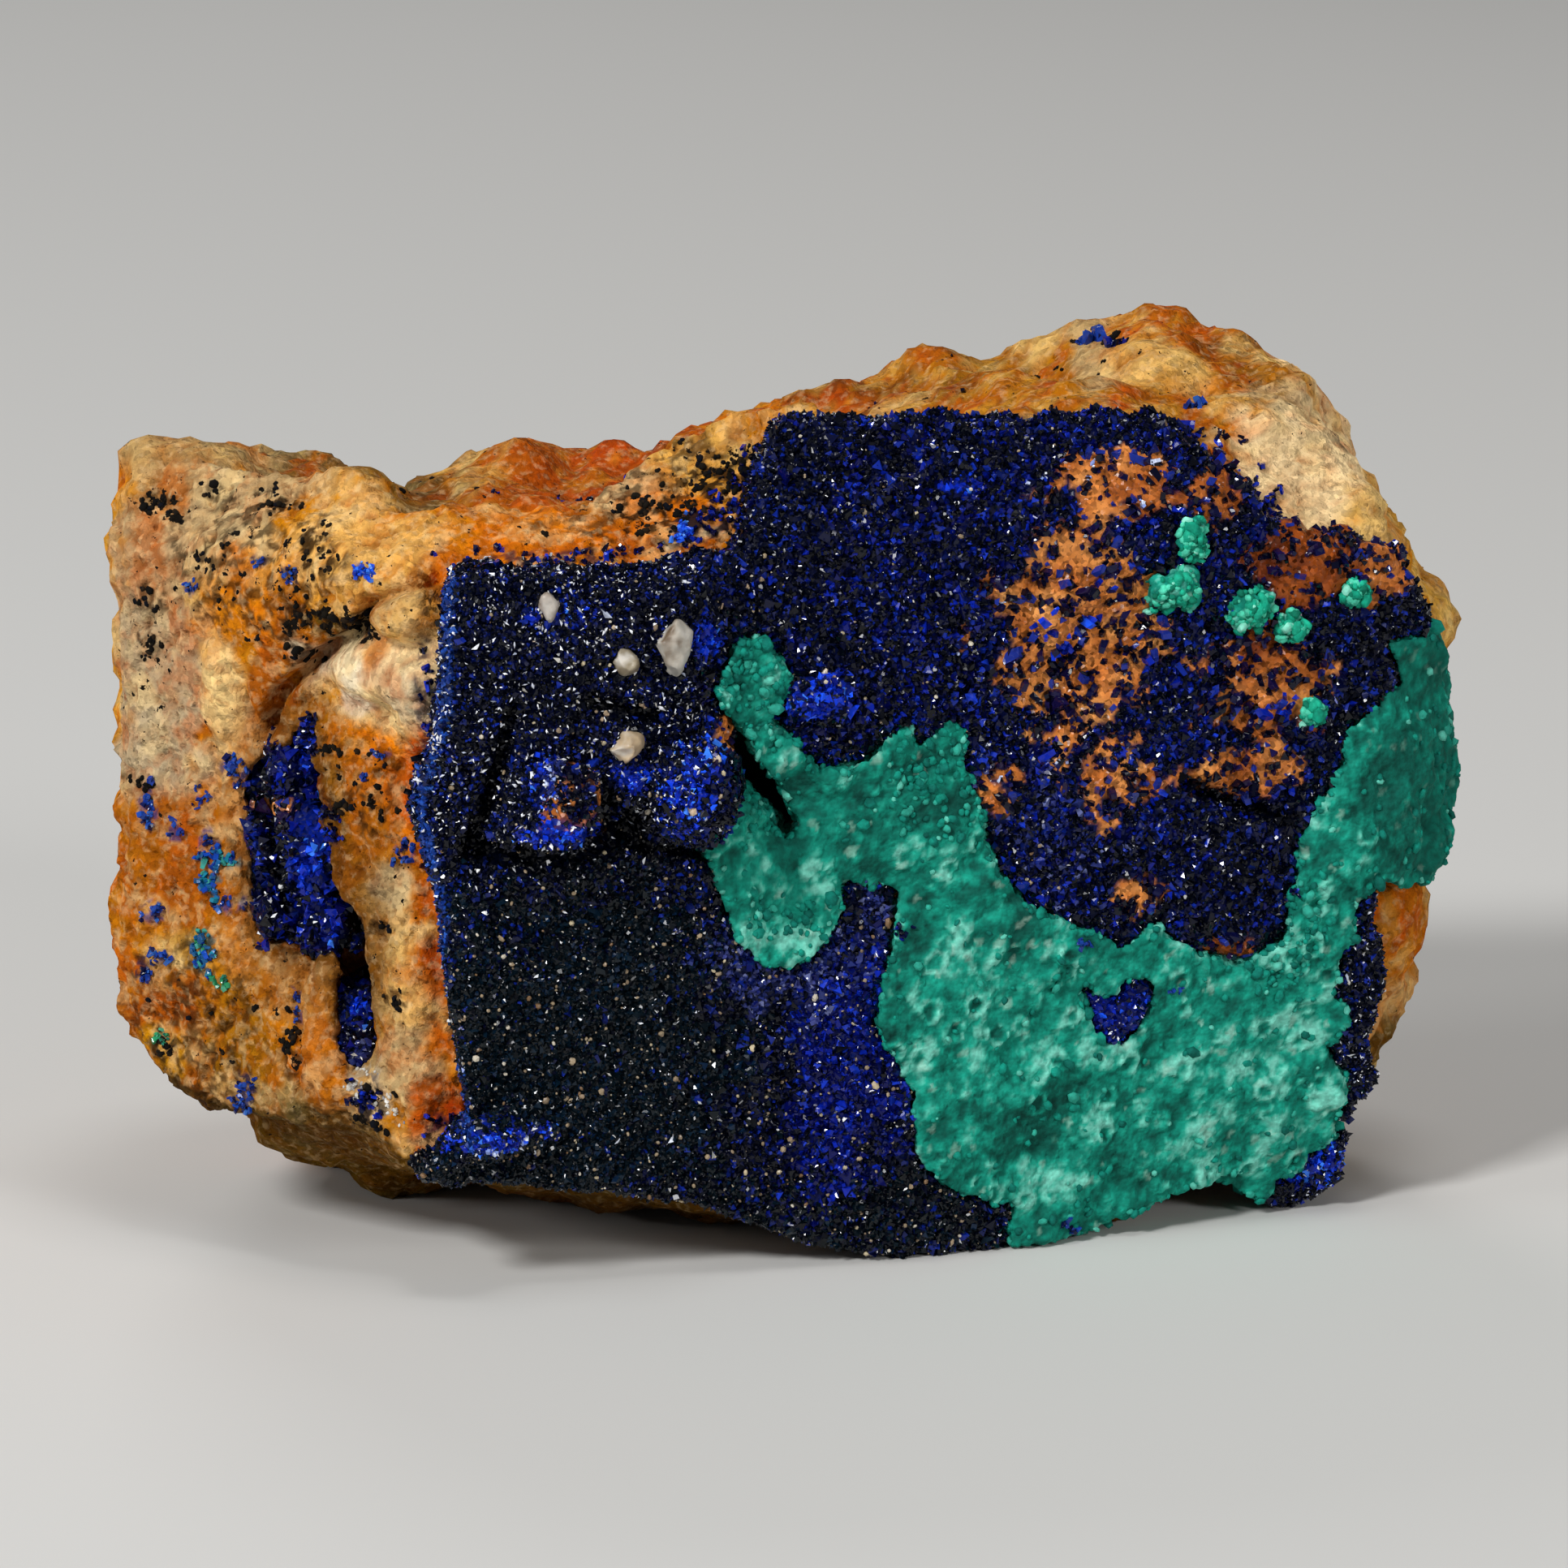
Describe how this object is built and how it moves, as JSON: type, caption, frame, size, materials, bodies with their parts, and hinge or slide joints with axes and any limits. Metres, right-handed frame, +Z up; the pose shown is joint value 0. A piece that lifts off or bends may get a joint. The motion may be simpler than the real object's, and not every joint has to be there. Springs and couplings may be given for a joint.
{
  "type": "azurite and malachite specimen",
  "caption": "Broken block of iron-stained sandstone with a face of drusy azurite, a green malachite crust over part of it, and azurite crystals in a cleft.",
  "frame": {"origin": "centre of the footprint of the whole specimen, on the surface it rests on", "axes": "+X runs to the right along the crusted front face, +Y runs back into the block, +Z is up"},
  "size_m": [0.06, 0.0359, 0.0392],
  "materials": {
    "sandstone": "rough broken sandstone, stained orange and cream by iron",
    "azurite": "fine glassy crystals, near black to deep blue",
    "malachite": "dull lumpy crust, blue-green with lighter rims",
    "quartz": "milky, slightly waxy"
  },
  "bodies": {
    "root": {"sandstone_matrix": "sandstone", "azurite_druse": "azurite", "azurite_strip": "azurite", "azurite_vein": "azurite", "azurite_cluster": "azurite", "azurite_window": "azurite", "malachite_crust": "malachite", "malachite_tuft_top": "malachite", "malachite_tuft_left": "malachite", "malachite_tuft_middle": "malachite", "malachite_tuft_right": "malachite", "malachite_tuft_low": "malachite", "malachite_tuft_edge": "malachite", "quartz_grain_large": "quartz", "quartz_grain_small": "quartz", "quartz_grain_middle": "quartz", "quartz_grain_top": "quartz"}
  },
  "joints": []
}
